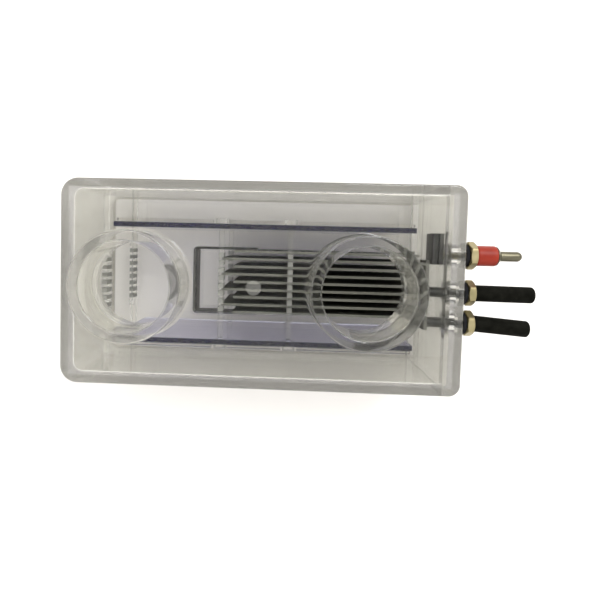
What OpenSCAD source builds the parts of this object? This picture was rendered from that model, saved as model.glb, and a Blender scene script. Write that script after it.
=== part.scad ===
// Clear box-type salt chlorine generator cell: electrode pack, two pipe ports, three end terminals.
// Frame: origin at the middle of the back face, +X towards the terminals, +Z out of the ports.

/* [Housing] */
// outside length of the housing along X
housing_l = 232; // [200:1:280]
// outside width of the housing along Y
housing_w = 120; // [112:1:150]
// outside depth of the housing along Z
housing_d = 75; // [70:1:95]
// wall thickness of the housing
wall = 5; // [4:0.5:7]
// corner radius at the closed end
corner_closed = 10; // [6:0.5:14]
// corner radius at the terminal end
corner_cap = 6.5; // [4:0.5:9]
// length of the end cap along X
cap_l = 10.5; // [8:0.5:14]
// thickness of the cap's end wall
cap_wall = 6.3; // [5:0.1:8]
// radius of the moulding gate mark on the front face
gate_r = 4.5; // [2:0.5:6]

/* [Ports] */
// outside radius of each port tube, takes a 50 mm pressure-pipe coupling
port_r = 30.15; // [24:0.05:38]
// inside radius of each port tube, takes a 40 mm pressure pipe
bore_r = 24.2; // [19:0.05:31]
// height of the port tubes above the front face
port_h = 26; // [18:1:40]
// distance between the two port centres
port_pitch = 128; // [110:1:160]
// X position midway between the two ports
port_mid_x = -6; // [-12:1:6]
// extra radius of the glue fillet collar at the port root
collar_extra = 2; // [1:0.5:4]
// height of the glue fillet collar
collar_h = 2.5; // [1:0.5:5]
// chamfer on the port rims
port_chamfer = 0.8; // [0.2:0.1:2]

/* [Flow channel] */
// distance from the centre line to the middle of each tinted channel sheet
sheet_y = 34; // [30:0.5:42]
// thickness of the tinted channel sheets
sheet_t = 3; // [2:0.5:5]
// X of the closed-end edge of the channel sheets
sheet_x0 = -86.5; // [-90:0.5:-80]
// X of the terminal-end edge of the channel sheets
sheet_x1 = 89.5; // [80:0.5:98]

/* [Electrodes] */
// number of plates, odd so that both outer plates have the same polarity
plate_n = 9; // [5:2:13]
// distance between neighbouring plates
plate_pitch = 4.6; // [3:0.1:6]
// thickness of one plate
plate_t = 1.5; // [0.6:0.1:2]
// Y of the middle plate
pack_y = 1; // [-3:0.5:3]
// Z of the rear edge of the plates
plate_z0 = 13; // [11:1:20]
// Z of the front edge of the plates
plate_z1 = 62; // [50:1:64]
// X where the anode plates start
anode_x0 = -23; // [-40:0.5:-10]
// X where the cathode plates start
cathode_x0 = -16; // [-40:0.5:-5]
// X where the full height of the plates ends
plate_x1 = 94; // [85:0.5:96]
// X of the plate-side face of the bus bars
bus_x0 = 98; // [96:0.5:102]
// thickness of the bus bars
bus_t = 2; // [1.5:0.5:3]
// height along Z of each bus bar and plate tab
bus_h = 12; // [8:1:16]
// Z of the middle of the cathode bus bar
cathode_bus_z = 26; // [18:1:34]
// Z of the middle of the strap that links the outer cathodes
strap_z = 50; // [40:1:56]

/* [Spacer combs] */
// X of the left comb station
left_comb_x = -23; // [-26:0.5:0]
// X of the middle comb station
middle_comb_x = 18; // [10:0.5:40]
// X of the comb station at the closed end
end_comb_x = -93; // [-100:0.5:-90]
// width of a comb bar along X
comb_w = 3; // [2:0.5:5]
// height of a comb bar along Z, teeth not counted
comb_h = 4; // [3:0.5:6]
// depth of the plate slots in the combs
comb_slot = 4; // [2:0.5:6]
// side clearance of a plate in its slot
slot_gap = 0.15; // [0.05:0.05:0.3]
// radius of the staked comb heads outside the channel sheets
head_r = 3.8; // [2.5:0.1:4.5]
// thickness of the staked comb heads
head_t = 3.2; // [1.5:0.1:4]

/* [Terminals] */
// Z of all three terminal studs
stud_z = 56; // [40:1:60]
// Y of the sensor terminal
sensor_y = 20.3; // [16:0.1:26]
// Y of the anode terminal
anode_y = -2.2; // [-4:0.1:2]
// Y of the cathode terminal
cathode_y = -20.5; // [-28:0.5:-20]
// radius of the studs
stud_r = 3; // [2.5:0.5:4]
// radius of the bosses on the end cap
boss_r = 7.2; // [6.8:0.1:9]
// length of the bosses on the end cap
boss_l = 5; // [3:0.5:12]
// radius of the rubber seal washers
washer_r = 6.8; // [6:0.1:9]
// thickness of the rubber seal washers
washer_t = 2.5; // [1.5:0.5:4]
// width across flats of the two power terminal nuts
nut_af = 14; // [11:0.5:17]
// width across flats of the sensor terminal nut
sensor_nut_af = 15; // [13:0.5:19]
// thickness of the terminal nuts
nut_t = 4.5; // [4:0.5:8]
// stud length past the power terminal nuts
stud_tip = 10; // [6:1:14]
// depth of the sensor nut's recess around the insulator
nut_recess = 1.5; // [1:0.1:2]
// radius of the sensor plug pin
pin_r = 3; // [2:0.25:4]
// length of the bare sensor plug pin, shoulder included
pin_l = 15.5; // [10:0.5:20]
// length of the tapered shoulder at the root of the pin
shoulder_l = 2.5; // [1:0.5:4]
// radius of the red sensor insulator
insulator_r = 6.1; // [5:0.1:7]
// length of the red sensor insulator
insulator_l = 14; // [10:0.5:20]
// outside radius of the black terminal boots
boot_r = 4.9; // [4.5:0.1:7]
// length of the anode boot
anode_boot_l = 35; // [20:0.5:50]
// length of the cathode boot
cathode_boot_l = 33; // [20:0.5:50]
// droop of the anode boot in degrees
anode_boot_tilt = 0.5; // [0:0.5:4]
// droop of the cathode boot in degrees
cathode_boot_tilt = 4.5; // [0:0.5:6]

/* [Hidden] */
$fn = 96;
fit = 0.05;
glue_gap = 0.1;
face_gap = 0.15;
cap_x = housing_l / 2 - cap_l;
end_x = housing_l / 2;
inner_w = housing_w - 2 * wall;
inner_d = housing_d - 2 * wall;
inner_corner = corner_closed - wall + 1;
port_xs = [port_mid_x - port_pitch / 2, port_mid_x + port_pitch / 2];
channel_w = 2 * sheet_y - sheet_t;
rail_y = sheet_y + sheet_t / 2 + 1.2;
rail_t = 1.6;
rail_h = 3;
peg_r = 1.4;
stations = [left_comb_x, middle_comb_x];
head_room = head_r + 0.8;
rail_spans = [
  [sheet_x0 + 2, left_comb_x - head_room],
  [left_comb_x + head_room, middle_comb_x - head_room],
  [middle_comb_x + head_room, sheet_x1 - 1],
];
half_n = (plate_n - 1) / 2;
pack_half = half_n * plate_pitch + plate_t / 2;
strap_t = 1.4;
strap_base_x = -41.5;
strap_end_x = -2;
strap_bend_r = 2.5;
plate_tip_x = bus_x0;
comb_front_z = plate_z1 + comb_h / 2 + 0.3;
comb_rear_z = plate_z0 - comb_h / 2 - 0.3;
washer_x = end_x + boss_l;
nut_x = washer_x + washer_t;
nut_end_x = nut_x + nut_t;
thread_pitch = 1;
thread_depth = 0.6;
insulator_x = nut_end_x - nut_recess + face_gap;
insulator_nose = 3;
neck_r = insulator_r - 1.2;
recess_r = neck_r + 1;
stem_r = pin_r - 0.4;
pin_x = nut_end_x - nut_recess + insulator_l;
paddle_x = 101.5;
paddle_t = 6.5;
paddle_y = 5.1;
paddle_h = 15.4;
paddle_z = 12;
paddle_groove = 1;
leg_w = 8;
boot_x = nut_end_x + face_gap;
boot_round = 1.6;

// rod along +X from the given start
module rod(x, y, z, r, l) {
  translate([x, y, z])
    rotate([0, 90, 0])
      cylinder(r = r, h = l);
}

// rounded rectangle with its own radius at each end of X
module outline(x0, x1, w, r0, r1) {
  union() {
    translate([x0 + r0, -w / 2])
      square([x1 - x0 - r0 - r1, w]);
    translate([x0, -w / 2 + r0])
      square([r0, w - 2 * r0]);
    translate([x1 - r1, -w / 2 + r1])
      square([r1, w - 2 * r1]);
    for (s = [-1, 1]) {
      translate([x0 + r0, s * (w / 2 - r0)])
        circle(r = r0);
      translate([x1 - r1, s * (w / 2 - r1)])
        circle(r = r1);
    }
  }
}

// whole outside of the housing, body and cap together
module housing_block() {
  linear_extrude(housing_d)
    outline(-end_x, end_x, housing_w, corner_closed, corner_cap);
}

module box(x0, x1, y0, y1, z0, z1) {
  translate([x0, y0, z0])
    cube([x1 - x0, y1 - y0, z1 - z0]);
}

module body_cavity() {
  translate([0, 0, wall])
    linear_extrude(inner_d)
      union() {
        translate([-end_x + wall + inner_corner, -inner_w / 2])
          square([housing_l, inner_w]);
        translate([-end_x + wall, -inner_w / 2 + inner_corner])
          square([housing_l, inner_w - 2 * inner_corner]);
        for (s = [-1, 1])
          translate([-end_x + wall + inner_corner, s * (inner_w / 2 - inner_corner)])
            circle(r = inner_corner);
      }
}

module cell_body() {
  color([0.80, 0.83, 0.80, 0.35])
    difference() {
      union() {
        difference() {
          housing_block();
          body_cavity();
          box(cap_x, housing_l, -housing_w, housing_w, -1, housing_d + 1);
        }
        translate([-3, -1, housing_d - 1])
          cylinder(r = gate_r, h = 1.5);
        for (s = [-1, 1], span = rail_spans)
          box(span[0], span[1], s * rail_y - rail_t / 2, s * rail_y + rail_t / 2,
            housing_d - wall - rail_h, housing_d - wall + 0.5);
      }
      for (x = port_xs)
        translate([x, 0, housing_d - wall - 1])
          cylinder(r = port_r + glue_gap, h = wall + 2);
    }
}

// pipe stub bonded through the front wall, with its glue fillet collar
module port_tube(x) {
  color([0.80, 0.83, 0.80, 0.35])
    translate([x, 0, housing_d])
      rotate_extrude()
        polygon([
          [bore_r, -wall], [port_r, -wall], [port_r, 0], [port_r + collar_extra, 0],
          [port_r + collar_extra, 0.6], [port_r, collar_h], [port_r, port_h - port_chamfer],
          [port_r - port_chamfer, port_h], [bore_r + port_chamfer, port_h],
          [bore_r, port_h - port_chamfer],
        ]);
}

module left_port() port_tube(port_xs[0]);

module right_port() port_tube(port_xs[1]);

module cap_boss(y) {
  rod(end_x - 1, y, stud_z, boss_r, boss_l + 1);
}

// cap butted and bonded on the open end of the body
module end_cap() {
  color([0.80, 0.83, 0.80, 0.35])
    difference() {
      union() {
        difference() {
          housing_block();
          box(-housing_l, cap_x, -housing_w, housing_w, -1, housing_d + 1);
          box(cap_x - 1, end_x - cap_wall, -inner_w / 2, inner_w / 2, wall, housing_d - wall);
        }
        cap_boss(sensor_y);
        cap_boss(anode_y);
        cap_boss(cathode_y);
      }
      for (y = [sensor_y, anode_y, cathode_y])
        rod(cap_x, y, stud_z, stud_r + fit, cap_l + boss_l + 1);
    }
}

module channel_sheet(s) {
  color([0.20, 0.20, 0.50, 0.6])
    difference() {
      box(sheet_x0, sheet_x1, s * sheet_y - sheet_t / 2, s * sheet_y + sheet_t / 2,
        wall, housing_d - wall);
      for (x = stations, z = [comb_front_z, comb_rear_z])
        translate([x, s * sheet_y + sheet_t, z])
          rotate([90, 0, 0])
            cylinder(r = peg_r + fit, h = 2 * sheet_t);
    }
}

module upper_channel_sheet() channel_sheet(1);

module lower_channel_sheet() channel_sheet(-1);

// plate number k counts from the top, even k is an anode
module plate(k) {
  y = pack_y + (half_n - k) * plate_pitch;
  anode = k % 2 == 1;
  x0 = anode ? anode_x0 : cathode_x0;
  tab_z = anode ? stud_z : cathode_bus_z;
  color(anode ? [0.33, 0.32, 0.28] : [0.45, 0.45, 0.43])
    union() {
      box(x0, plate_x1, y - plate_t / 2, y + plate_t / 2, plate_z0, plate_z1);
      box(plate_x1 - 1, plate_tip_x, y - plate_t / 2, y + plate_t / 2,
        tab_z - bus_h / 2, tab_z + bus_h / 2);
    }
}

module cathode_plate_1() plate(0);

module anode_plate_1() plate(1);

module cathode_plate_2() plate(2);

module anode_plate_2() plate(3);

module cathode_plate_3() plate(4);

module anode_plate_3() plate(5);

module cathode_plate_4() plate(6);

module anode_plate_4() plate(7);

module cathode_plate_5() plate(8);

module cathode_link_strap() {
  outer = pack_half + strap_t;
  color([0.20, 0.20, 0.20])
    translate([0, pack_y, strap_z - bus_h / 2])
      linear_extrude(bus_h)
        difference() {
          union() {
            translate([strap_base_x + strap_bend_r, -outer])
              square([strap_end_x - strap_base_x - strap_bend_r, 2 * outer]);
            translate([strap_base_x, -outer + strap_bend_r])
              square([strap_bend_r + 1, 2 * (outer - strap_bend_r)]);
            for (s = [-1, 1])
              translate([strap_base_x + strap_bend_r, s * (outer - strap_bend_r)])
                circle(r = strap_bend_r);
          }
          translate([strap_base_x + 2.2, -pack_half])
            square([housing_l, 2 * pack_half]);
        }
}

module anode_bus_bar() {
  reach = (half_n - 1) * plate_pitch + plate_t / 2 + 1.5;
  color([0.50, 0.50, 0.48])
    box(bus_x0, bus_x0 + bus_t, pack_y - reach, pack_y + reach,
      stud_z - bus_h / 2, stud_z + bus_h / 2);
}

module cathode_bus_bar() {
  reach = pack_half + 1.5;
  color([0.50, 0.50, 0.48])
    union() {
      box(bus_x0, bus_x0 + bus_t, cathode_y - leg_w / 2, pack_y + reach,
        cathode_bus_z - bus_h / 2, cathode_bus_z + bus_h / 2);
      box(bus_x0, bus_x0 + bus_t, cathode_y - leg_w / 2, cathode_y + leg_w / 2,
        cathode_bus_z - bus_h / 2, stud_z + bus_h / 2);
    }
}

// comb bar along Y, its teeth point from the bar towards the plates
module comb_bar(x, front, half_l) {
  z_mid = front ? comb_front_z : comb_rear_z;
  z0 = front ? z_mid - comb_h / 2 - comb_slot : z_mid - comb_h / 2;
  z1 = front ? z_mid + comb_h / 2 : z_mid + comb_h / 2 + comb_slot;
  slot_z0 = front ? z0 - 1 : z_mid + comb_h / 2;
  slot_z1 = front ? z_mid - comb_h / 2 : z1 + 1;
  slot = plate_t / 2 + slot_gap;
  tooth_end = pack_half + strap_t + 2.2;
  difference() {
    union() {
      box(x - comb_w / 2, x + comb_w / 2, -half_l, half_l, z_mid - comb_h / 2, z_mid + comb_h / 2);
      box(x - comb_w / 2, x + comb_w / 2, pack_y - tooth_end, pack_y + tooth_end, z0, z1);
    }
    for (k = [0 : plate_n - 1])
      box(x - comb_w, x + comb_w, pack_y + (half_n - k) * plate_pitch - slot,
        pack_y + (half_n - k) * plate_pitch + slot, slot_z0, slot_z1);
  }
}

// comb between the channel sheets, pegged through both and staked over on the outside
module comb(x, front) {
  z_mid = front ? comb_front_z : comb_rear_z;
  head_y = sheet_y + sheet_t / 2 + fit;
  color([0.86, 0.88, 0.86, 0.5])
    union() {
      comb_bar(x, front, channel_w / 2 - fit);
      for (s = [-1, 1])
        translate([x, s * (channel_w / 2 - 1), z_mid])
          rotate([-s * 90, 0, 0])
            union() {
              cylinder(r = peg_r, h = head_y - channel_w / 2 + 2);
              translate([0, 0, head_y - channel_w / 2 + 1])
                cylinder(r = front ? head_r : peg_r + 1, h = head_t);
            }
    }
}

// comb at the closed end, bonded between the side walls
module end_comb(front) {
  color([0.86, 0.88, 0.86, 0.5])
    comb_bar(end_comb_x, front, inner_w / 2 - glue_gap);
}

module end_comb_front() end_comb(true);

module end_comb_rear() end_comb(false);

module left_comb_front() comb(left_comb_x, true);

module left_comb_rear() comb(left_comb_x, false);

module middle_comb_front() comb(middle_comb_x, true);

module middle_comb_rear() comb(middle_comb_x, false);

// sensing block inside, threaded stud through the cap, stem under the insulator, round-ended pin
module sensor_stud() {
  groove_x = paddle_x + (paddle_t - paddle_groove) / 2;
  color([0.72, 0.71, 0.66])
    union() {
      difference() {
        box(paddle_x, paddle_x + paddle_t, sensor_y + paddle_y - paddle_h / 2,
          sensor_y + paddle_y + paddle_h / 2, stud_z - paddle_z / 2, stud_z + paddle_z / 2);
        difference() {
          box(groove_x, groove_x + paddle_groove, sensor_y + paddle_y - paddle_h,
            sensor_y + paddle_y + paddle_h, stud_z - paddle_z, stud_z + paddle_z);
          box(groove_x - 1, groove_x + paddle_groove + 1,
            sensor_y + paddle_y - paddle_h / 2 + paddle_groove,
            sensor_y + paddle_y + paddle_h / 2 - paddle_groove,
            stud_z - paddle_z / 2 + paddle_groove, stud_z + paddle_z / 2 - paddle_groove);
        }
      }
      rod(paddle_x + paddle_t - 1, sensor_y, stud_z, stud_r, insulator_x - paddle_x - paddle_t + 0.8);
      rod(insulator_x - 1, sensor_y, stud_z, stem_r, insulator_l + 2);
      translate([pin_x + fit, sensor_y, stud_z])
        rotate([0, 90, 0])
          cylinder(r1 = insulator_r - 0.4, r2 = pin_r, h = shoulder_l - fit);
      rod(pin_x + shoulder_l - 0.5, sensor_y, stud_z, pin_r, pin_l - shoulder_l - pin_r + 0.5);
      translate([pin_x + pin_l - pin_r, sensor_y, stud_z])
        sphere(r = pin_r);
    }
}

// stud from the bus bar out through the cap, with a chamfered tip
module power_stud(y) {
  tip_x = nut_end_x + stud_tip;
  color([0.30, 0.30, 0.30])
    translate([0, y, stud_z])
      rotate([0, 90, 0])
        rotate_extrude()
          polygon([
            [0, bus_x0 + bus_t], [stud_r, bus_x0 + bus_t], [stud_r, tip_x - thread_pitch],
            [stud_r - thread_depth, tip_x], [0, tip_x],
          ]);
}

module anode_stud() power_stud(anode_y);

module cathode_stud() power_stud(cathode_y);

module seal_washer(y, r) {
  color([0.07, 0.07, 0.08])
    difference() {
      rod(washer_x, y, stud_z, r, washer_t - face_gap);
      rod(washer_x - 1, y, stud_z, stud_r + fit, washer_t + 2);
    }
}

module sensor_seal_washer() seal_washer(sensor_y, washer_r);

module anode_seal_washer() seal_washer(anode_y, washer_r);

module cathode_seal_washer() seal_washer(cathode_y, washer_r);

module terminal_nut(y, af) {
  color([0.80, 0.66, 0.36])
    translate([nut_x, y, stud_z])
      rotate([0, 90, 0])
        difference() {
          intersection() {
            linear_extrude(nut_t)
              rotate(90)
                circle(r = af / sqrt(3), $fn = 6);
            cylinder(r = af / sqrt(3) - 0.25, h = nut_t);
          }
          translate([0, 0, -1])
            cylinder(r = stud_r + fit, h = nut_t + 2);
        }
}

// the sensor nut is recessed so that the nose of the insulator sits in it
module sensor_nut() {
  difference() {
    terminal_nut(sensor_y, sensor_nut_af);
    rod(nut_end_x - nut_recess, sensor_y, stud_z, recess_r, nut_recess + 1);
  }
}

module anode_nut() terminal_nut(anode_y, nut_af);

module cathode_nut() terminal_nut(cathode_y, nut_af);

module sensor_insulator() {
  length = pin_x - insulator_x;
  color([0.80, 0.16, 0.12])
    translate([insulator_x, sensor_y, stud_z])
      rotate([0, 90, 0])
        rotate_extrude()
          polygon([
            [stem_r + fit, 0], [stem_r + fit, length], [insulator_r - 0.8, length],
            [insulator_r, length - 0.8], [insulator_r, insulator_nose], [neck_r, 0],
          ]);
}

// push-on boot: straight bore on the stud, outside drooping by the given angle
module boot(y, l, tilt) {
  color([0.05, 0.05, 0.05])
    translate([boot_x, y, stud_z])
      difference() {
        rotate([0, 0, -tilt])
          rotate([0, 90, 0])
            rotate_extrude()
              polygon([
                [0, 0], [boot_r, 0], [boot_r, l - boot_round], [boot_r - boot_round, l], [0, l],
              ]);
        translate([-1, 0, 0])
          rotate([0, 90, 0])
            cylinder(r = stud_r + fit, h = stud_tip + 2);
        translate([-2, -boot_r - 2, -boot_r - 2])
          cube([2, 2 * boot_r + 4, 2 * boot_r + 4]);
      }
}

module anode_boot() boot(anode_y, anode_boot_l, anode_boot_tilt);

module cathode_boot() boot(cathode_y, cathode_boot_l, cathode_boot_tilt);

cell_body();
end_cap();
left_port();
right_port();
upper_channel_sheet();
lower_channel_sheet();
cathode_plate_1();
anode_plate_1();
cathode_plate_2();
anode_plate_2();
cathode_plate_3();
anode_plate_3();
cathode_plate_4();
anode_plate_4();
cathode_plate_5();
cathode_link_strap();
anode_bus_bar();
cathode_bus_bar();
end_comb_front();
end_comb_rear();
left_comb_front();
left_comb_rear();
middle_comb_front();
middle_comb_rear();
sensor_stud();
anode_stud();
cathode_stud();
sensor_seal_washer();
anode_seal_washer();
cathode_seal_washer();
sensor_nut();
anode_nut();
cathode_nut();
sensor_insulator();
anode_boot();
cathode_boot();
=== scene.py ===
import math

import bmesh
import bpy
from mathutils import Matrix, Vector
from mathutils.geometry import tessellate_polygon

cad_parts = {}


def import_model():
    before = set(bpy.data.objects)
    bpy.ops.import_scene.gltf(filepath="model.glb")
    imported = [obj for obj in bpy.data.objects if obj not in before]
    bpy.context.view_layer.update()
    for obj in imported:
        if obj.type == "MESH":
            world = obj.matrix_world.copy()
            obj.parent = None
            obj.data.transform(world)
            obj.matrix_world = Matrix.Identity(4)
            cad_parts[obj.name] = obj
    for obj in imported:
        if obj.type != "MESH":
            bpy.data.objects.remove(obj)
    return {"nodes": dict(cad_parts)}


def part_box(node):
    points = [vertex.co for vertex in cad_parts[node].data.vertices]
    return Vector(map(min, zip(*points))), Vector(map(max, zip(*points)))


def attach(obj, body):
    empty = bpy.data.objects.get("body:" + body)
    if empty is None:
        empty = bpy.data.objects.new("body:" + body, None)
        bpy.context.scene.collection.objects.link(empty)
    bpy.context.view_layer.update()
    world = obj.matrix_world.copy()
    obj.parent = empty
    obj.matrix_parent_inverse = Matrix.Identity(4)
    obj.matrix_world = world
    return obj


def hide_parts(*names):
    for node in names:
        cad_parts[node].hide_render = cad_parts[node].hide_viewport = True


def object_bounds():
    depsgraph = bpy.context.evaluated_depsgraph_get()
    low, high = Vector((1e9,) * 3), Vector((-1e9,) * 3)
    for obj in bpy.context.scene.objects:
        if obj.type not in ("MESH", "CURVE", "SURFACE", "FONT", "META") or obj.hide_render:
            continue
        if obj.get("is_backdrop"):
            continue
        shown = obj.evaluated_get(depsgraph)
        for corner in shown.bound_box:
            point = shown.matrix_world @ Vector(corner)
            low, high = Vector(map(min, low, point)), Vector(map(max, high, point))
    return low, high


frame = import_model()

cad_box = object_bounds()
MM = 0.001
ROOT = "cell"

# Places taken from the CAD boxes, in metres
body_lo, body_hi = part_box("cell_body")
cap_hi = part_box("end_cap")[1]
sheet_lo, sheet_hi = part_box("upper_channel_sheet")
washer_lo, washer_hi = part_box("anode_seal_washer")
port_lo, port_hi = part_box("left_port")

# Sizes that the boxes don't give
WALL = 5 * MM
DEPTH = cap_hi[2]
CORNER_CLOSED = 10 * MM
CORNER_CAP = 6.5 * MM
INNER_CORNER = 6 * MM
EDGE_FILLET = 1.2 * MM
INNER_FILLET = 1.6 * MM
JOINT_GAP = 0.04 * MM
CAP_WALL = 6.3 * MM
BOSS_R = 7.2 * MM
BOSS_L = 5 * MM
STUD_R = 3 * MM
FIT = 0.05 * MM
PORT_R = 30.15 * MM
BORE_R = 24.2 * MM
COLLAR_R = (port_hi[0] - port_lo[0]) / 2
COLLAR_H = 2.5 * MM
GATE_R = 4.5 * MM
GATE_XY = (-3 * MM, -1 * MM)
RAIL_HALF = 0.8 * MM
RAIL_H = 3 * MM
HEAD_R = 3.8 * MM
REAR_HEAD_R = 2.4 * MM
ROUND_STEPS = 128
STUD_Z = (washer_lo[2] + washer_hi[2]) / 2
END_X = cap_hi[0] - BOSS_L
PACK_Y = (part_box("cathode_plate_1")[1][1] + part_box("cathode_plate_5")[0][1]) / 2
PLATE_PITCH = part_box("cathode_plate_1")[0][1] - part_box("anode_plate_1")[0][1]
STUD_YS = {
    name: sum(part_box(name + "_seal_washer")[i][1] for i in (0, 1)) / 2
    for name in ("sensor", "anode", "cathode")
}


# ---------------------------------------------------------------- materials
LOOK = "_look"


def principled(name, **values):
    """A new material and its Principled shader, with each uniform value on its own socket."""
    material = bpy.data.materials.new(name + LOOK)
    material.use_nodes = True
    shader = material.node_tree.nodes["Principled BSDF"]
    for socket, value in values.items():
        shader.inputs[socket.replace("_", " ")].default_value = value
    return material, shader


def node(material, kind, **inputs):
    made = material.node_tree.nodes.new(kind)
    for socket, value in inputs.items():
        made.inputs[socket.replace("_", " ")].default_value = value
    return made


def link(material, source, output, target, socket):
    material.node_tree.links.new(source.outputs[output], target.inputs[socket])


def noise_of(material, scale, detail=3.0, stretch=(1, 1, 1)):
    """Noise over object coordinates, stretched along the axes given."""
    coordinates = node(material, "ShaderNodeTexCoord")
    mapping = node(material, "ShaderNodeMapping")
    mapping.inputs["Scale"].default_value = stretch
    noise = node(material, "ShaderNodeTexNoise", Scale=scale, Detail=detail)
    link(material, coordinates, "Object", mapping, "Vector")
    link(material, mapping, "Vector", noise, "Vector")
    return noise


def add_bump(material, shader, noise, strength, distance):
    bump = node(material, "ShaderNodeBump", Strength=strength, Distance=distance)
    link(material, noise, "Fac", bump, "Height")
    link(material, bump, "Normal", shader, "Normal")


def ramp(material, noise, stops):
    """Noise through a colour ramp. stops are (place, colour), two of them."""
    made = node(material, "ShaderNodeValToRGB")
    for element, (place, colour) in zip(made.color_ramp.elements, stops):
        element.position = place
        element.color = (*colour, 1)
    link(material, noise, "Fac", made, "Fac")
    return made


def add_ramp(material, shader, noise, socket, stops):
    link(material, ramp(material, noise, stops), "Color", shader, socket)


# How far each area goes from clear towards frosted. The side walls also take painted shade in step with their
# haze, and the level faces over the walls take painted shade towards near black, for the dark look of thick
# clear walls
SIDE_HAZE_AND_SHADE = 0.5
TUBE_HAZE = 0.35
GATE_HAZE = 0.3
RIM_PAINTED_SHADE = 0.6

# Share of a face's normal along Z, from which it counts as level, and as flat enough to see straight through
LEVEL_FROM = 0.5
FLAT_FROM = 0.97

# The gate's ball gradient falls from 1 at its middle to this at its edge
GATE_EDGE = 0.02


def clear_plastic(name):
    """See-through plastic, slightly wavy as a moulding is."""
    material, shader = principled(name, IOR=1.49)
    add_bump(material, shader, noise_of(material, 45.0, 2.0), 0.12, 0.0006)
    return material, shader


def blend_value(material, shader, mask, socket, clear, masked):
    """Drives one number of the shader: clear where the mask is 0, and masked where it is 1."""
    spread = node(material, "ShaderNodeMapRange", To_Min=clear, To_Max=masked)
    link(material, mask, "Value", spread, "Value")
    link(material, spread, "Result", shader, socket)


def frost(material, shader, mask, polished, frosted):
    """Blends two pairs of (roughness, transmission): polished where the mask is 0, frosted where it is 1."""
    for socket, low, high in zip(("Roughness", "Transmission Weight"), polished, frosted):
        blend_value(material, shader, mask, socket, low, high)


def let_through(material, shader, mask, clear, masked):
    """Blends alpha. The rest of it is the share of light that goes straight through."""
    blend_value(material, shader, mask, "Alpha", clear, masked)


def maths(material, operation, source, output, second=0.0):
    """A maths node on one output and a second value, which is a number or another maths node."""
    made = node(material, "ShaderNodeMath")
    made.operation = operation
    material.node_tree.links.new(source.outputs[output], made.inputs[0])
    if isinstance(second, float):
        made.inputs[1].default_value = second
    else:
        material.node_tree.links.new(second.outputs["Value"], made.inputs[1])
    return made


def split_of(material, coordinate):
    """The X, Y and Z of one output of the texture coordinates."""
    coordinates = node(material, "ShaderNodeTexCoord")
    split = node(material, "ShaderNodeSeparateXYZ")
    link(material, coordinates, coordinate, split, "Vector")
    return split


def blend_colour(material, shader, mask, clear, masked):
    mix = node(material, "ShaderNodeMixRGB", Color1=(*clear, 1), Color2=(*masked, 1))
    link(material, mask, "Value", mix, "Fac")
    link(material, mix, "Color", shader, "Base Color")


def gate_spot(material):
    """1 at the gate mark, where the moulding was cut off, and 0 elsewhere."""
    coordinates = node(material, "ShaderNodeTexCoord")
    place = node(material, "ShaderNodeMapping")
    place.vector_type = "TEXTURE"
    place.inputs["Location"].default_value = (*GATE_XY, DEPTH)
    place.inputs["Scale"].default_value = (GATE_R,) * 3
    ball = node(material, "ShaderNodeTexGradient")
    ball.gradient_type = "SPHERICAL"
    link(material, coordinates, "Object", place, "Vector")
    link(material, place, "Vector", ball, "Vector")
    return maths(material, "GREATER_THAN", ball, "Fac", GATE_EDGE)


def over_walls(material):
    """1 within WALL of the sides and both ends, and 0 inside. The cap's own end wall is a little thicker."""
    middle = (body_lo[0] + END_X) / 2
    place = split_of(material, "Object")
    along = maths(material, "SUBTRACT", place, "X", middle)
    along = maths(material, "ABSOLUTE", along, "Value")
    end = maths(material, "GREATER_THAN", along, "Value", END_X - middle - WALL)
    across = maths(material, "ABSOLUTE", place, "Y")
    side = maths(material, "GREATER_THAN", across, "Value", body_hi[1] - WALL)
    return maths(material, "MAXIMUM", end, "Value", side)


def housing_plastic():
    """Clear front and back, painted shade over the walls, hazier sides with more painted shade, hazy tubes, a
    frosted gate mark.
    """
    material, shader = clear_plastic("clear_housing")
    upright = maths(material, "ABSOLUTE", split_of(material, "Normal"), "Z")
    side = maths(material, "LESS_THAN", upright, "Value", LEVEL_FROM)
    wall = maths(material, "LESS_THAN", split_of(material, "Object"), "Z", DEPTH + 0.5 * MM)
    share = maths(material, "MULTIPLY", wall, "Value", SIDE_HAZE_AND_SHADE - TUBE_HAZE)
    share = maths(material, "ADD", share, "Value", TUBE_HAZE)
    haze_and_shade = maths(material, "MULTIPLY", share, "Value", side)
    # the side walls' haze share, reused as the strength of the painted shade
    painted_shade = maths(material, "MULTIPLY", haze_and_shade, "Value", wall)
    level = maths(material, "GREATER_THAN", upright, "Value", LEVEL_FROM)
    thick = maths(material, "MULTIPLY", over_walls(material), "Value", level)
    rim = maths(material, "MULTIPLY", thick, "Value", RIM_PAINTED_SHADE)
    painted_shade = maths(material, "MAXIMUM", painted_shade, "Value", rim)
    spot = gate_spot(material)
    gate = maths(material, "MULTIPLY", spot, "Value", GATE_HAZE)
    mask = maths(material, "MAXIMUM", haze_and_shade, "Value", gate)
    frost(material, shader, mask, (0.03, 0.99), (0.12, 0.74))
    # painted shade: the sides and the level faces over the walls are darkened towards near black
    blend_colour(material, shader, painted_shade, (0.96, 0.95, 0.87), (0.08, 0.08, 0.065))
    sloped = maths(material, "LESS_THAN", upright, "Value", FLAT_FROM)
    solid = maths(material, "MAXIMUM", sloped, "Value", spot)
    solid = maths(material, "MAXIMUM", solid, "Value", thick)
    let_through(material, shader, solid, 0.12, 0.85)
    return material


# In plate pitches: half a tooth's width, and how far from the pack's middle the teeth reach
TOOTH_HALF = 0.27
TEETH_REACH = 4.2


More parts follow.
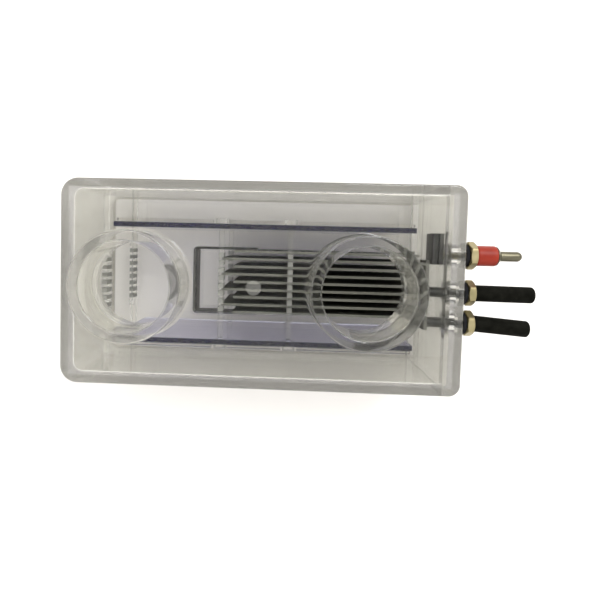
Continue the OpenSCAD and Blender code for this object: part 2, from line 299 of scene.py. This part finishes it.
def comb_plastic():
    """Clear over the plate slots and frosted by the saw on the teeth between them."""
    material, shader = clear_plastic("clear_comb")
    across = split_of(material, "Object")
    along = maths(material, "SUBTRACT", across, "Y", PACK_Y)
    turns = maths(material, "DIVIDE", along, "Value", PLATE_PITCH)
    part = maths(material, "FRACT", turns, "Value")
    off_gap = maths(material, "SUBTRACT", part, "Value", 0.5)
    away = maths(material, "ABSOLUTE", off_gap, "Value")
    tooth = maths(material, "LESS_THAN", away, "Value", TOOTH_HALF)
    distance = maths(material, "ABSOLUTE", along, "Value")
    within = maths(material, "LESS_THAN", distance, "Value", TEETH_REACH * PLATE_PITCH)
    sawn = maths(material, "MULTIPLY", tooth, "Value", within)
    frost(material, shader, sawn, (0.08, 0.97), (0.5, 0.5))
    blend_colour(material, shader, sawn, (0.96, 0.96, 0.92), (0.34, 0.34, 0.31))
    let_through(material, shader, sawn, 0.5, 0.9)
    return material


def metal(name, dark, light, roughness, scale, stretch=(1, 1, 1)):
    material, shader = principled(name, Metallic=1.0)
    noise = noise_of(material, scale, 5.0, stretch)
    add_ramp(material, shader, noise, "Base Color", [(0.3, dark), (0.7, light)])
    low, high = roughness
    add_ramp(material, shader, noise, "Roughness", [(0.3, (low,) * 3), (0.7, (high,) * 3)])
    add_bump(material, shader, noise, 0.25, 0.00015)
    return material


def rubber(name, dark, light, roughness):
    material, shader = principled(name, Roughness=roughness, IOR=1.5, Specular_IOR_Level=0.03)
    noise = noise_of(material, 260.0, 6.0)
    add_ramp(material, shader, noise, "Base Color", [(0.35, dark), (0.75, light)])
    add_bump(material, shader, noise, 0.35, 0.00012)
    return material


def plate_metal(name, dark, light, edge, metallic):
    """Dull plate faces, which look along Y, and brighter cut edges all round."""
    material, shader = principled(name, Metallic=metallic)
    noise = noise_of(material, 90.0, 5.0, (1, 1, 6))
    faces = ramp(material, noise, [(0.3, dark), (0.7, light)])
    edges = ramp(material, noise, [(0.3, edge), (0.7, [1.15 * part for part in edge])])
    facing = maths(material, "ABSOLUTE", split_of(material, "Normal"), "Y")
    mix = node(material, "ShaderNodeMixRGB")
    link(material, facing, "Value", mix, "Fac")
    link(material, edges, "Color", mix, "Color1")
    link(material, faces, "Color", mix, "Color2")
    link(material, mix, "Color", shader, "Base Color")
    add_ramp(material, shader, noise, "Roughness", [(0.3, (0.5,) * 3), (0.7, (0.7,) * 3)])
    add_bump(material, shader, noise, 0.2, 0.0001)
    return material


CLEAR = housing_plastic()
COMB = comb_plastic()


def tinted_plastic():
    """Blue-tinted sheet, with painted shade making its cut edges, which don't face along Y, nearly black."""
    material, shader = principled("tinted_sheet", Transmission_Weight=0.97, IOR=1.49, Roughness=0.06)
    absorption = node(material, "ShaderNodeVolumeAbsorption", Density=40.0)
    absorption.inputs["Color"].default_value = (0.30, 0.28, 0.85, 1)
    output = material.node_tree.nodes["Material Output"]
    link(material, absorption, "Volume", output, "Volume")
    facing = maths(material, "ABSOLUTE", split_of(material, "Normal"), "Y")
    # painted shade: the cut edges are coloured nearly black for the darkness of light crossing the sheet's
    # length
    blend_colour(material, shader, facing, (0.015, 0.012, 0.08), (0.82, 0.82, 0.95))
    add_bump(material, shader, noise_of(material, 60.0, 2.0), 0.1, 0.0004)
    return material


TINTED = tinted_plastic()
BARE_TITANIUM = plate_metal(
    "bare_titanium", (0.05, 0.05, 0.037), (0.085, 0.085, 0.066), (0.10, 0.10, 0.085), 0.4,
)
COATED_TITANIUM = plate_metal(
    "coated_titanium", (0.025, 0.025, 0.018), (0.05, 0.05, 0.037), (0.085, 0.085, 0.07), 0.2,
)
DARK_TITANIUM = metal("dark_titanium", (0.03, 0.03, 0.028), (0.08, 0.08, 0.075), (0.38, 0.55), 120.0)
PLUG_METAL = metal("plug_metal", (0.10, 0.092, 0.062), (0.16, 0.148, 0.105), (0.3, 0.45), 150.0, (1, 6, 6))
BRASS = metal("nut_brass", (0.26, 0.225, 0.12), (0.38, 0.325, 0.185), (0.3, 0.45), 140.0)
SEAL = rubber("seal_rubber", (0.008, 0.008, 0.009), (0.018, 0.018, 0.019), 0.6)
BOOT = rubber("boot_rubber", (0.003, 0.003, 0.002), (0.008, 0.008, 0.006), 0.65)


def red_insulator_plastic():
    material, shader = principled(
        "red_plastic", Roughness=0.4, IOR=1.5, Specular_IOR_Level=0.2,
        Subsurface_Weight=0.1, Subsurface_Scale=0.002,
    )
    noise = noise_of(material, 120.0, 3.0)
    reds = [(0.3, (0.20, 0.014, 0.005)), (0.7, (0.27, 0.026, 0.011))]
    add_ramp(material, shader, noise, "Base Color", reds)
    add_bump(material, shader, noise, 0.15, 0.0001)
    return material


RED = red_insulator_plastic()


# ---------------------------------------------------------------- mesh tools
class Builder:
    """Collects points and faces of one piece."""

    def __init__(self):
        self.points = []
        self.faces = []

    def ring(self, points):
        start = len(self.points)
        self.points.extend(Vector(p) for p in points)
        return list(range(start, len(self.points)))

    def strip(self, a, b, skip=()):
        """Quads between two closed rings of the same length, leaving out the sides in skip."""
        n = len(a)
        for i in range(n):
            if i not in skip:
                j = (i + 1) % n
                self.faces.append((a[i], a[j], b[j], b[i]))

    def fill(self, outer, holes=()):
        """A flat face with holes, over rings made before."""
        loops = [list(outer)] + [list(h) for h in holes]
        flat = [i for loop in loops for i in loop]
        for tri in tessellate_polygon([[self.points[i] for i in loop] for loop in loops]):
            self.faces.append(tuple(flat[i] for i in tri))

    def lathe(self, profile, matrix, segments=72, closed=True):
        """Turns (radius, height) points about +Z. A profile that starts at radius 0 also ends there."""
        closed = closed and profile[0][0] > 0
        rings = []
        for radius, height in profile:
            if radius <= 0:
                rings.append(self.ring([matrix @ Vector((0, 0, height))]) * segments)
            else:
                angles = (2 * math.pi * i / segments for i in range(segments))
                rings.append(self.ring(
                    matrix @ Vector((radius * math.cos(a), radius * math.sin(a), height)) for a in angles
                ))
        pairs = list(zip(rings, rings[1:]))
        if closed:
            pairs.append((rings[-1], rings[0]))
        for a, b in pairs:
            self.strip(a, b)

    def block(self, low, high):
        """A plain box, for ribs and pads that are part of a larger piece."""
        (x0, y0, z0), (x1, y1, z1) = low, high
        a = self.ring([(x0, y0, z0), (x1, y0, z0), (x1, y1, z0), (x0, y1, z0)])
        b = self.ring([(x0, y0, z1), (x1, y0, z1), (x1, y1, z1), (x0, y1, z1)])
        self.strip(a, b)
        self.faces.append(tuple(a))
        self.faces.append(tuple(b))

    def piece(self, name, material, replaced, body=ROOT, sharp=32, bevel=0.0):
        """Makes the piece, rides it on its body, and hides the CAD nodes it stands for."""
        mesh = bpy.data.meshes.new(name)
        faces = []
        # A quad at the tip of a lathe has two equal corners, so it becomes a triangle
        for face in self.faces:
            corners = [i for k, i in enumerate(face) if i != face[k - 1]]
            if len(set(corners)) > 2:
                faces.append(corners)
        mesh.from_pydata(self.points, [], faces)
        work = bmesh.new()
        work.from_mesh(mesh)
        bmesh.ops.remove_doubles(work, verts=work.verts, dist=1e-7)
        bmesh.ops.recalc_face_normals(work, faces=work.faces)
        work.to_mesh(mesh)
        work.free()
        mesh.shade_smooth()
        mesh.set_sharp_from_angle(angle=math.radians(sharp))
        mesh.materials.append(material)
        made = bpy.data.objects.new(name, mesh)
        bpy.context.scene.collection.objects.link(made)
        if bevel:
            round_edges(made, bevel)
        else:
            weigh_normals(made)
        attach(made, body)
        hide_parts(*replaced)


def weigh_normals(thing):
    weighted = thing.modifiers.new("weighted", "WEIGHTED_NORMAL")
    weighted.keep_sharp = True


def round_edges(thing, width, segments=2):
    bevel = thing.modifiers.new("edges", "BEVEL")
    bevel.width = width
    bevel.segments = segments
    bevel.limit_method = "ANGLE"
    bevel.angle_limit = math.radians(30)
    bevel.harden_normals = False
    weigh_normals(thing)


def along_x(x, y, z):
    """Places a lathe so that its +Z runs along +X from the point given."""
    return Matrix.Translation((x, y, z)) @ Matrix.Rotation(math.radians(90), 4, "Y")


def arc(centre, radius, start, end, steps):
    """Points of an arc in degrees, both ends included."""
    cx, cy = centre
    out = []
    for i in range(steps + 1):
        a = math.radians(start + (end - start) * i / steps)
        out.append((cx + radius * math.cos(a), cy + radius * math.sin(a)))
    return out


def circle_at(x, y, radius, steps=ROUND_STEPS):
    return arc((x, y), radius, 0, 360, steps)[:-1]


# ---------------------------------------------------------------- housing
CORNER_STEPS = 10
FILLET_STEPS = 6


def outline(low, high, half, r_low, r_high, inset):
    """Housing outline in XY, inset all round. A radius of 0 is an end cut square, with no inset there."""
    points = []
    if r_high:
        radius = max(r_high - inset, 1e-5)
        points += arc((high - r_high, -half + r_high), radius, -90, 0, CORNER_STEPS)
        points += arc((high - r_high, half - r_high), radius, 0, 90, CORNER_STEPS)
    else:
        points += [(high, -half + inset), (high, half - inset)]
    if r_low:
        radius = max(r_low - inset, 1e-5)
        points += arc((low + r_low, half - r_low), radius, 90, 180, CORNER_STEPS)
        points += arc((low + r_low, -half + r_low), radius, 180, 270, CORNER_STEPS)
    else:
        points += [(low, half - inset), (low, -half + inset)]
    return points


def fillet_layers(z0, z1, fillet):
    """(z, inset) from the bottom face up to the top face, with both edges rounded."""
    bottom = []
    for i in range(FILLET_STEPS + 1):
        a = math.radians(90 * i / FILLET_STEPS)
        bottom.append((z0 + fillet * (1 - math.cos(a)), fillet * (1 - math.sin(a))))
    return bottom + [(z0 + z1 - z, inset) for z, inset in reversed(bottom)]


def shell(builder, layers, shape, skip):
    rings = []
    for z, inset in layers:
        rings.append(builder.ring([(x, y, z) for x, y in outline(*shape, inset)]))
    for a, b in zip(rings, rings[1:]):
        builder.strip(a, b, skip)
    return rings


def cell_body():
    """Box open at the terminal end, with a gate mark and the rails that hold the sheets.

    The port tubes are solvent-welded in, so no face parts a tube from the wall round it: the wall stops
    at the tube's outside and the tube's faces carry on from there.
    """
    make = Builder()
    half = body_hi[1]
    open_side = (0,)
    outer = shell(
        make, fillet_layers(0, DEPTH, EDGE_FILLET),
        (body_lo[0], body_hi[0], half, CORNER_CLOSED, 0), open_side,
    )
    inner = shell(
        make, fillet_layers(WALL, DEPTH - WALL, INNER_FILLET),
        (body_lo[0] + WALL, body_hi[0], half - WALL, INNER_CORNER, 0), open_side,
    )
    make.fill(outer[0])
    make.fill(inner[0])
    front_holes, inner_holes = [], []
    for name in ("left_port", "right_port"):
        low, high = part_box(name)
        x = (low[0] + high[0]) / 2
        front_holes.append(make.ring([(px, py, DEPTH) for px, py in circle_at(x, 0, COLLAR_R)]))
        inner_holes.append(make.ring([(px, py, DEPTH - WALL) for px, py in circle_at(x, 0, PORT_R)]))
    gate = [(GATE_R, DEPTH), (GATE_R - 0.3 * MM, DEPTH + 0.4 * MM), (GATE_R - 1.2 * MM, DEPTH + 0.45 * MM)]
    gate_rings = [make.ring([(x, y, z) for x, y in circle_at(*GATE_XY, r, 32)]) for r, z in gate]
    for a, b in zip(gate_rings, gate_rings[1:]):
        make.strip(a, b)
    make.fill(gate_rings[-1])
    make.fill(outer[-1], front_holes + [gate_rings[0]])
    make.fill(inner[-1], inner_holes)
    rim = [ring[1] for ring in outer] + [ring[0] for ring in reversed(outer)]
    mouth = [ring[1] for ring in inner] + [ring[0] for ring in reversed(inner)]
    make.fill(rim, [mouth])
    rail_y = sheet_hi[1] + 1.2 * MM
    rail_top = DEPTH - WALL - 2 * JOINT_GAP
    head_room = HEAD_R + 0.8 * MM
    starts = [sheet_lo[0] + 2 * MM] + [comb_x(name) + head_room for name in ("left", "middle")]
    ends = [comb_x(name) - head_room for name in ("left", "middle")] + [sheet_hi[0] - 1 * MM]
    for side in (-1, 1):
        for x0, x1 in zip(starts, ends):
            y0, y1 = sorted((side * (rail_y - RAIL_HALF), side * (rail_y + RAIL_HALF)))
            make.block((x0, y0, rail_top - RAIL_H), (x1, y1, rail_top))
    make.piece("housing_body", CLEAR, ["cell_body"])


def comb_x(name):
    low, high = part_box(name + "_comb_front")
    return (low[0] + high[0]) / 2


def end_cap():
    """Cap bonded on the open end: rounded outside, square inside, with three bored bosses."""
    make = Builder()
    half = cap_hi[1]
    cut = body_hi[0] + JOINT_GAP
    cut_side = 2 * CORNER_STEPS + 2
    end_side = CORNER_STEPS
    outer = shell(
        make, fillet_layers(0, DEPTH, EDGE_FILLET), (cut, END_X, half, 0, CORNER_CAP),
        (cut_side, end_side),
    )
    for layer, (a, b) in enumerate(zip(outer, outer[1:])):
        if layer != FILLET_STEPS:
            make.faces.append((a[end_side], a[end_side + 1], b[end_side + 1], b[end_side]))
    make.fill(outer[0])
    make.fill(outer[-1])
    wide, z0, z1 = half - WALL, WALL, DEPTH - WALL
    square = [(-wide, z0), (wide, z0), (wide, z1), (-wide, z1)]
    mouth = make.ring([(cut, y, z) for y, z in square])
    floor_x = END_X - CAP_WALL
    inside_end = make.ring([(floor_x, y, z) for y, z in square])
    make.strip(mouth, inside_end)
    last = (cut_side + 1) % len(outer[0])
    rim = [ring[cut_side] for ring in outer] + [ring[last] for ring in reversed(outer)]
    make.fill(rim, [mouth])
    inside, outside = [], []
    bore = STUD_R + FIT
    for y in STUD_YS.values():
        profile = [
            (bore, floor_x), (bore, END_X + BOSS_L - 0.4 * MM), (bore + 0.4 * MM, END_X + BOSS_L),
            (BOSS_R - 0.6 * MM, END_X + BOSS_L), (BOSS_R, END_X + BOSS_L - 0.6 * MM), (BOSS_R, END_X),
        ]
        rings = [
            make.ring([(x, y + py, STUD_Z + pz) for py, pz in circle_at(0, 0, r, 48)]) for r, x in profile
        ]
        for a, b in zip(rings, rings[1:]):
            make.strip(a, b)
        inside.append(rings[0])
        outside.append(rings[-1])
    make.fill(inside_end, inside)
    a, b = outer[FILLET_STEPS], outer[FILLET_STEPS + 1]
    make.fill([a[end_side], a[end_side + 1], b[end_side + 1], b[end_side]], outside)
    make.piece("housing_end_cap", CLEAR, ["end_cap"])


def port(name):
    """Pipe stub with a rounded rim and a fillet round its root, open where it is welded to the wall."""
    make = Builder()
    low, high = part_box(name)
    x = (low[0] + high[0]) / 2
    top = high[2]
    corner = 1.2 * MM
    reach = COLLAR_R - PORT_R
    profile = [(PORT_R, low[2]), (BORE_R, low[2])]
    profile += [(r, z) for r, z in arc((BORE_R + corner, top - corner), corner, 180, 90, 6)]
    profile += [(r, z) for r, z in arc((PORT_R - corner, top - corner), corner, 90, 0, 6)]
    for i in range(7):
        a = math.radians(90 * i / 6)
        profile.append((COLLAR_R - reach * math.cos(a), DEPTH + COLLAR_H * (1 - math.sin(a))))
    make.lathe(profile, Matrix.Translation((x, 0, 0)), ROUND_STEPS, closed=False)
    make.piece(name + "_tube", CLEAR, [name])


# ---------------------------------------------------------------- inside
def channel_sheet(name):
    """Tinted sheet, a hair short of the walls it is bonded to, with a hole for each comb peg."""
    make = Builder()
    low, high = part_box(name)
    z0, z1 = low[2] + 0.15 * MM, high[2] - 0.15 * MM
    sides = []
    for y in (low[1], high[1]):
        edge = make.ring([(low[0], y, z0), (high[0], y, z0), (high[0], y, z1), (low[0], y, z1)])
        holes = []
        for station in ("left", "middle"):
            x = comb_x(station)
            front_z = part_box(station + "_comb_front")[1][2] - HEAD_R
            rear_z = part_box(station + "_comb_rear")[0][2] + REAR_HEAD_R
            for z in (front_z, rear_z):
                holes.append(make.ring([(px, y, pz) for px, pz in circle_at(x, z, 1.5 * MM, 20)]))
        sides.append((edge, holes))
    (edge_a, holes_a), (edge_b, holes_b) = sides
    make.fill(edge_a, holes_a)
    make.fill(edge_b, holes_b)
    make.strip(edge_a, edge_b)
    for a, b in zip(holes_a, holes_b):
        make.strip(a, b)
    make.piece(name + "_plate", TINTED, [name])


def dress(name, material, bevel=0.0):
    """A CAD node shown as it is, with its finish and slightly rounded edges."""
    thing = frame["nodes"][name]
    thing.data.materials.clear()
    thing.data.materials.append(material)
    if bevel:
        round_edges(thing, bevel)


def electrode_pack():
    for i in range(1, 6):
        dress(f"cathode_plate_{i}", BARE_TITANIUM, 0.15 * MM)
    for i in range(1, 5):
        dress(f"anode_plate_{i}", COATED_TITANIUM, 0.15 * MM)
    dress("cathode_link_strap", DARK_TITANIUM, 0.3 * MM)
    dress("anode_bus_bar", BARE_TITANIUM, 0.3 * MM)
    dress("cathode_bus_bar", BARE_TITANIUM, 0.3 * MM)
    for station in ("end", "left", "middle"):
        for place in ("front", "rear"):
            dress(f"{station}_comb_{place}", COMB, 0.2 * MM)


# ---------------------------------------------------------------- terminals
PITCH = 1 * MM
THREAD_DEPTH = 0.5 * MM


def threaded_rod(make, x0, x1, y, z, radius, plain_until):
    """Solid rod along X with a helical thread from plain_until to its chamfered tip."""
    around, per_pitch = 32, 8
    rows = [x0]
    x = plain_until
    while x < x1:
        rows.append(x)
        x += PITCH / per_pitch
    rows.append(x1)
    rings = []
    for x in rows:
        points = []
        for i in range(around):
            a = 2 * math.pi * i / around
            turn = (x - plain_until) / PITCH - i / around
            groove = THREAD_DEPTH * (0.5 - 0.5 * math.cos(2 * math.pi * turn))
            start = min(1.0, max(0.0, (x - plain_until) / PITCH))
            tip = max(0.0, x - (x1 - PITCH)) * 0.6
            r = radius - max(groove * start, tip)
            points.append((x, y + r * math.cos(a), z + r * math.sin(a)))
        rings.append(make.ring(points))
    for a, b in zip(rings, rings[1:]):
        make.strip(a, b)
    make.fill(rings[0])
    make.fill(rings[-1])


def power_stud(name):
    make = Builder()
    low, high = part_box(name + "_stud")
    threaded_rod(make, low[0], high[0], STUD_YS[name], STUD_Z, STUD_R, END_X)
    make.piece(name + "_terminal_stud", DARK_TITANIUM, [name + "_stud"], sharp=50)


def sensor_stud():
    """Grooved sensing block inside, stud through the cap, shoulder and round-ended plug pin."""
    make = Builder()
    low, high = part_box("sensor_stud")
    y = STUD_YS["sensor"]
    pin_r, stem_r, shoulder_r = 3 * MM, 2.6 * MM, 5.7 * MM
    insulator_lo, insulator_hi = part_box("sensor_insulator")
    block_end = low[0] + 6.5 * MM
    root = insulator_hi[0] + FIT
    shoulder_end = insulator_hi[0] + 2.5 * MM
    profile = [
        (0, block_end - 2 * MM), (STUD_R, block_end - 2 * MM), (STUD_R, insulator_lo[0] - 0.2 * MM),
        (stem_r, insulator_lo[0] - 0.2 * MM), (stem_r, root), (shoulder_r, root),
        (shoulder_r, root + 0.3 * MM), (pin_r + 0.3 * MM, shoulder_end - 0.2 * MM), (pin_r, shoulder_end),
    ]
    profile += [(r, x) for x, r in arc((high[0] - pin_r, 0), pin_r, 90, 0, 10)][:-1] + [(0, high[0])]
    make.lathe(profile, along_x(0, y, STUD_Z), 48)
    make.piece("sensor_plug_pin", PLUG_METAL, ["sensor_stud"], sharp=35)
    make = Builder()
    groove, depth = 1 * MM, 1 * MM
    middle = (low[0] + block_end) / 2
    stations = [
        (low[0], 0), (middle - groove / 2, 0), (middle - groove / 2, depth),
        (middle + groove / 2, depth), (middle + groove / 2, 0), (block_end, 0),
    ]
    rings = []
    for x, inset in stations:
        y0, y1, z0, z1 = low[1] + inset, high[1] - inset, low[2] + inset, high[2] - inset
        rings.append(make.ring([(x, y0, z0), (x, y1, z0), (x, y1, z1), (x, y0, z1)]))
    for a, b in zip(rings, rings[1:]):
        make.strip(a, b)
    make.fill(rings[0])
    make.fill(rings[-1])
    make.piece("sensor_block", DARK_TITANIUM, ["sensor_stud"], bevel=0.3 * MM)


def seal_washer(name):
    make = Builder()
    low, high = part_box(name + "_seal_washer")
    radius = (high[1] - low[1]) / 2
    soft = 0.5 * MM
    profile = [(STUD_R + FIT, low[0]), (STUD_R + FIT, high[0])]
    profile += [(r, x) for x, r in arc((high[0] - soft, radius - soft), soft, 0, 90, 5)]
    profile += [(r, x) for x, r in arc((low[0] + soft, radius - soft), soft, 90, 180, 5)]
    make.lathe(profile, along_x(0, STUD_YS[name], STUD_Z), 64)
    make.piece(name + "_washer", SEAL, [name + "_seal_washer"])


def terminal_nut(name, recess=None):
    """Hex nut with chamfered corners. recess is the (radius, depth) of a pocket in its outer face."""
    make = Builder()
    low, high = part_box(name + "_nut")
    flat = (high[2] - low[2]) / 2
    y, x0, x1 = STUD_YS[name], low[0], high[0]
    around = 6 * 8
    start_r = 0.94 * flat
    slope = math.tan(math.radians(30))
    bore, sink = STUD_R + FIT, 0.4 * MM
    mouth = [(bore + sink, x1), (bore, x1 - sink)]
    if recess:
        radius, depth = recess
        mouth = [(radius + 0.2 * MM, x1), (radius, x1 - 0.2 * MM), (radius, x1 - depth), (bore, x1 - depth)]
    corner_limit = flat / math.cos(math.radians(30)) - 0.25 * MM
    rows = []
    for i in range(around):
        a = 2 * math.pi * i / around
        within = (a % math.radians(60)) - math.radians(30)
        hexagon = min(flat / math.cos(within), corner_limit)
        drop = (hexagon - start_r) * slope
        steps = [
            (bore, x0 + sink), (bore + sink, x0), (start_r, x0), (hexagon, x0 + drop),
            (hexagon, x1 - drop), (start_r, x1),
        ]
        rows.append([(x, y + r * math.cos(a), STUD_Z + r * math.sin(a)) for r, x in steps + mouth])
    rings = [make.ring(row) for row in zip(*rows)]
    for a, b in zip(rings, rings[1:] + rings[:1]):
        make.strip(a, b)
    make.piece(name + "_hex_nut", BRASS, [name + "_nut"], body=name + "_nut", sharp=25)


def sensor_insulator():
    make = Builder()
    low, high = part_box("sensor_insulator")
    radius = (high[1] - low[1]) / 2
    length = high[0] - low[0]
    soft = 1.2 * MM
    neck = radius - 1.2 * MM
    bore = 2.65 * MM
    profile = [(bore, 0), (bore, length)]
    profile += [(r, x) for x, r in arc((length - soft, radius - soft), soft, 0, 90, 6)]
    profile += [(radius, 3.2 * MM), (radius - 0.3 * MM, 2.2 * MM), (neck + 0.3 * MM, 0.6 * MM), (neck, 0)]
    make.lathe(profile, along_x(low[0], STUD_YS["sensor"], STUD_Z), 64)
    make.piece("sensor_red_insulator", RED, ["sensor_insulator"])


def boot(name, length, droop):
    """Soft boot: its bore follows the stud and its outside droops by the angle given."""
    make = Builder()
    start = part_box(name + "_boot")[0][0]
    y = STUD_YS[name]
    radius, bore, depth = 4.9 * MM, STUD_R + FIT, 12 * MM
    straight = along_x(start, y, STUD_Z)
    tilted = Matrix.Translation((start, y, STUD_Z)) @ Matrix.Rotation(-math.radians(droop), 4, "Z")
    tilted = tilted @ Matrix.Rotation(math.radians(90), 4, "Y")

    def ring(matrix, r, x):
        return make.ring(matrix @ Vector((px, py, x)) for px, py in circle_at(0, 0, r, 56))

    rings = [ring(straight, bore - 0.4 * MM, depth - 1 * MM), ring(straight, bore, depth - 1.6 * MM)]
    rings += [ring(straight, bore, 0.5 * MM), ring(straight, bore + 0.4 * MM, 0)]
    rings += [ring(straight, radius - 0.4 * MM, 0), ring(straight, radius - 0.1 * MM, 0.4 * MM)]
    rings += [ring(tilted, radius, x * MM) for x in (1.4, 2.4, 6, 12, 18, 24)]
    soft = 0.9 * MM
    rings += [ring(tilted, r, x) for x, r in arc((length - soft, radius - soft), soft, 90, 0, 6)]
    rings.append(ring(tilted, radius * 0.45, length - 0.08 * MM))
    for a, b in zip(rings, rings[1:]):
        make.strip(a, b)
    make.fill(rings[0])
    make.fill(rings[-1])
    make.piece(name + "_rubber_boot", BOOT, [name + "_boot"], body=name + "_boot", sharp=50)


# ---------------------------------------------------------------- build
cell_body()
end_cap()
port("left_port")
port("right_port")
channel_sheet("upper_channel_sheet")
channel_sheet("lower_channel_sheet")
electrode_pack()
sensor_stud()
power_stud("anode")
power_stud("cathode")
for terminal in STUD_YS:
    seal_washer(terminal)
terminal_nut("sensor", (5.9 * MM, 1.5 * MM))
terminal_nut("anode")
terminal_nut("cathode")
sensor_insulator()
boot("anode", 35 * MM, 0.5)
boot("cathode", 33 * MM, 4.5)


# ---------------------------------------------------------------- floor, light, camera
def floor():
    size = 3.0
    mesh = bpy.data.meshes.new("floor")
    corners = [(-size, -size, 0), (size, -size, 0), (size, size, 0), (-size, size, 0)]
    mesh.from_pydata([(x, y, -0.3 * MM) for x, y, _ in corners], [], [(0, 1, 2, 3)])
    made = bpy.data.objects.new("floor", mesh)
    bpy.context.scene.collection.objects.link(made)
    material, shader = principled("floor", Base_Color=(0.90, 0.88, 0.855, 1), Roughness=0.9)
    mesh.materials.append(material)
    made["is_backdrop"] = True


def area_light(name, place, target, size, power):
    light = bpy.data.lights.new(name, "AREA")
    light.shape = "DISK"
    light.size = size
    light.energy = power
    made = bpy.data.objects.new(name, light)
    bpy.context.scene.collection.objects.link(made)
    made.location = place
    made.rotation_euler = (Vector(target) - Vector(place)).to_track_quat("-Z", "Y").to_euler()


def world(strength):
    made = bpy.data.worlds.new("studio")
    made.use_nodes = True
    background = made.node_tree.nodes["Background"]
    background.inputs["Color"].default_value = (1.0, 0.99, 0.975, 1)
    background.inputs["Strength"].default_value = strength
    bpy.context.scene.world = made


def camera():
    """Close above the front face, a little right of the middle and towards the upper edge."""
    data = bpy.data.cameras.new("camera")
    data.sensor_width = 36
    data.lens = 27
    data.shift_x = 0.065
    data.shift_y = -0.065
    made = bpy.data.objects.new("camera", data)
    bpy.context.scene.collection.objects.link(made)
    place = Matrix.Translation((0.0114, 0.0259, 0.3313))
    turn_x = Matrix.Rotation(math.radians(2.54), 4, "X")
    turn_y = Matrix.Rotation(math.radians(-2.33), 4, "Y")
    turn_z = Matrix.Rotation(math.radians(-1.57), 4, "Z")
    made.matrix_world = place @ (turn_z @ turn_y @ turn_x).inverted()
    bpy.context.scene.camera = made


floor()
world(1.35)
area_light("key", (0.4, 0.55, 0.75), (0, 0, 0.03), 0.5, 6.0)
camera()
bpy.context.scene.view_settings.view_transform = "Standard"

boxes = {"cad": cad_box, "visual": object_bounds()}
{key: [list(map(float, corner)) for corner in value] for key, value in boxes.items()}
